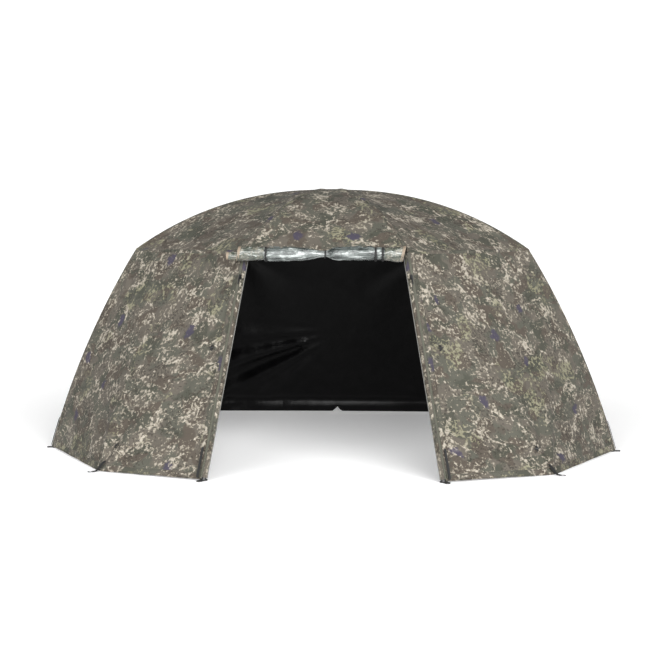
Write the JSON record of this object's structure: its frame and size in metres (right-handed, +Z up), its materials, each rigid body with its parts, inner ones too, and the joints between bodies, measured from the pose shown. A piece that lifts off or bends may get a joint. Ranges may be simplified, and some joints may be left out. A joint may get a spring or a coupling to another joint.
{
  "type": "layout field blind",
  "caption": "Free-standing dome shelter in camouflage cloth on a folding twin-hub frame of jointed ribs and legs, with an open doorway and its door rolled up.",
  "frame": {"origin": "on the ground at the centre of the footprint's bounding box", "axes": "+Z up; the doorway faces -Y; +X across the width"},
  "size_m": [3.094, 2.3626, 1.3925],
  "materials": {
    "camo_cloth": "matt camouflage cloth, black coated inside",
    "pole": "dark anodised",
    "moulding": "black glass-filled nylon",
    "rolled_door": "clear film rolled with cloth",
    "steel": "plain",
    "zip_metal": "black lacquer",
    "button": "olive, lightly textured"
  },
  "bodies": {
    "hub": {"hub_blocks": "moulding", "hub_bridge": "moulding", "hub_hinge_pins": "steel", "lock_spring_left": "steel", "lock_spring_right": "steel", "hub_cover_patch": "camo_cloth"},
    "front_left_rib": {"front_left_roof_rib": "pole", "front_left_rib_root": "moulding", "front_left_knuckle": "moulding", "front_left_roof_panel": "camo_cloth", "left_door_roll": "rolled_door"},
    "front_left_leg": {"front_left_leg": "pole", "front_left_leg_top": "moulding", "front_left_foot": "moulding", "front_left_wall": "camo_cloth"},
    "side_left_rib": {"side_left_roof_rib": "pole", "side_left_rib_root": "moulding", "side_left_knuckle": "moulding", "side_left_roof_panel": "camo_cloth"},
    "side_left_leg": {"side_left_leg": "pole", "side_left_leg_top": "moulding", "side_left_foot": "moulding", "side_left_wall": "camo_cloth"},
    "rear_left_rib": {"rear_left_roof_rib": "pole", "rear_left_rib_root": "moulding", "rear_left_knuckle": "moulding", "rear_left_roof_panel": "camo_cloth"},
    "rear_left_leg": {"rear_left_leg": "pole", "rear_left_leg_top": "moulding", "rear_left_foot": "moulding", "rear_left_wall": "camo_cloth"},
    "front_right_rib": {"front_right_roof_rib": "pole", "front_right_rib_root": "moulding", "front_right_knuckle": "moulding", "front_right_roof_panel": "camo_cloth", "right_door_roll": "rolled_door"},
    "front_right_leg": {"front_right_leg": "pole", "front_right_leg_top": "moulding", "front_right_foot": "moulding", "front_right_wall": "camo_cloth"},
    "side_right_rib": {"side_right_roof_rib": "pole", "side_right_rib_root": "moulding", "side_right_knuckle": "moulding", "side_right_roof_panel": "camo_cloth"},
    "side_right_leg": {"side_right_leg": "pole", "side_right_leg_top": "moulding", "side_right_foot": "moulding", "side_right_wall": "camo_cloth"},
    "rear_right_rib": {"rear_right_roof_rib": "pole", "rear_right_rib_root": "moulding", "rear_right_knuckle": "moulding", "rear_right_roof_panel": "camo_cloth"},
    "rear_right_leg": {"rear_right_leg": "pole", "rear_right_leg_top": "moulding", "rear_right_foot": "moulding", "rear_right_wall": "camo_cloth"},
    "release_plunger_left": {"release_plunger_left": "button"},
    "zip_slider_left": {"zip_slider_left": "zip_metal"},
    "release_plunger_right": {"release_plunger_right": "button"},
    "zip_slider_right": {"zip_slider_right": "zip_metal"}
  },
  "joints": [
    {"name": "frame_fold", "type": "hinge", "parent": "hub", "child": "side_left_rib", "pos_m": [-0.09, -0.24221, 1.372], "axis": [0, 1, 0], "range_deg": [0, 100.82], "deforming": ["side_left_roof_panel", "hub_cover_patch"]},
    {"name": "front_left_rib_hinge", "type": "hinge", "parent": "hub", "child": "front_left_rib", "pos_m": [-0.063, -0.29121, 1.372], "axis": [-0.8599, 0.5105, 0], "range_deg": [0, 108.59], "deforming": ["front_left_roof_panel", "left_door_roll"]},
    {"name": "rear_left_rib_hinge", "type": "hinge", "parent": "hub", "child": "rear_left_rib", "pos_m": [-0.0625, -0.19571, 1.372], "axis": [0.8755, 0.4833, 0], "range_deg": [0, 98.33], "deforming": ["rear_left_roof_panel"]},
    {"name": "front_right_rib_hinge", "type": "hinge", "parent": "hub", "child": "front_right_rib", "pos_m": [0.063, -0.29121, 1.372], "axis": [-0.8599, -0.5105, 0], "range_deg": [0, 108.59], "deforming": ["front_right_roof_panel", "right_door_roll"]},
    {"name": "side_right_rib_hinge", "type": "hinge", "parent": "hub", "child": "side_right_rib", "pos_m": [0.09, -0.24221, 1.372], "axis": [0, -1, 0], "range_deg": [0, 100.82], "deforming": ["side_right_roof_panel"]},
    {"name": "rear_right_rib_hinge", "type": "hinge", "parent": "hub", "child": "rear_right_rib", "pos_m": [0.0625, -0.19571, 1.372], "axis": [0.8755, -0.4833, 0], "range_deg": [0, 98.33], "deforming": ["rear_right_roof_panel"]},
    {"name": "side_left_knuckle_hinge", "type": "hinge", "parent": "side_left_rib", "child": "side_left_leg", "pos_m": [-1.01956, -0.24221, 1.05525], "axis": [0, -1, 0], "range_deg": [0, 131.3], "deforming": ["side_left_wall"]},
    {"name": "front_left_knuckle_hinge", "type": "hinge", "parent": "front_left_rib", "child": "front_left_leg", "pos_m": [-0.38403, -0.83188, 1.05725], "axis": [0.8599, -0.5105, 0], "range_deg": [0, 133.26], "deforming": ["front_left_wall"]},
    {"name": "rear_left_knuckle_hinge", "type": "hinge", "parent": "rear_left_rib", "child": "rear_left_leg", "pos_m": [-0.58498, 0.75077, 1.05539], "axis": [-0.8755, -0.4833, 0], "range_deg": [0, 127.09], "deforming": ["rear_left_wall"]},
    {"name": "front_right_knuckle_hinge", "type": "hinge", "parent": "front_right_rib", "child": "front_right_leg", "pos_m": [0.38403, -0.83188, 1.05725], "axis": [0.8599, 0.5105, 0], "range_deg": [0, 133.26], "deforming": ["front_right_wall"]},
    {"name": "side_right_knuckle_hinge", "type": "hinge", "parent": "side_right_rib", "child": "side_right_leg", "pos_m": [1.01956, -0.24221, 1.05525], "axis": [0, 1, 0], "range_deg": [0, 131.3], "deforming": ["side_right_wall"]},
    {"name": "rear_right_knuckle_hinge", "type": "hinge", "parent": "rear_right_rib", "child": "rear_right_leg", "pos_m": [0.58498, 0.75077, 1.05539], "axis": [-0.8755, 0.4833, 0], "range_deg": [0, 127.09], "deforming": ["rear_right_wall"]},
    {"name": "release_left", "type": "slide", "parent": "hub", "child": "release_plunger_left", "axis": [0, 0, -1], "range_m": [0, 0.01], "stiffness_N_per_m": 800, "springref_m": -0.005, "deforming": ["lock_spring_left"]},
    {"name": "release_right", "type": "slide", "parent": "hub", "child": "release_plunger_right", "axis": [0, 0, -1], "range_m": [0, 0.01], "stiffness_N_per_m": 800, "springref_m": -0.005, "deforming": ["lock_spring_right"]},
    {"name": "door_zip_left", "type": "slide", "parent": "front_left_leg", "child": "zip_slider_left", "axis": [-0.1573, -0.265, -0.9513], "range_m": [0, 0.86]},
    {"name": "door_zip_right", "type": "slide", "parent": "front_right_leg", "child": "zip_slider_right", "axis": [0.1573, -0.265, -0.9513], "range_m": [0, 0.86]}
  ],
  "couplings": [
    {"joint": "front_left_rib_hinge", "follows": "frame_fold", "ratio": 1.0771},
    {"joint": "rear_left_rib_hinge", "follows": "frame_fold", "ratio": 0.97527},
    {"joint": "front_right_rib_hinge", "follows": "frame_fold", "ratio": 1.0771},
    {"joint": "side_right_rib_hinge", "follows": "frame_fold", "ratio": 1},
    {"joint": "rear_right_rib_hinge", "follows": "frame_fold", "ratio": 0.97527},
    {"joint": "side_left_knuckle_hinge", "follows": "frame_fold", "ratio": 1.3023},
    {"joint": "front_left_knuckle_hinge", "follows": "frame_fold", "ratio": 1.3218},
    {"joint": "rear_left_knuckle_hinge", "follows": "frame_fold", "ratio": 1.2606},
    {"joint": "front_right_knuckle_hinge", "follows": "frame_fold", "ratio": 1.3218},
    {"joint": "side_right_knuckle_hinge", "follows": "frame_fold", "ratio": 1.3023},
    {"joint": "rear_right_knuckle_hinge", "follows": "frame_fold", "ratio": 1.2606}
  ]
}
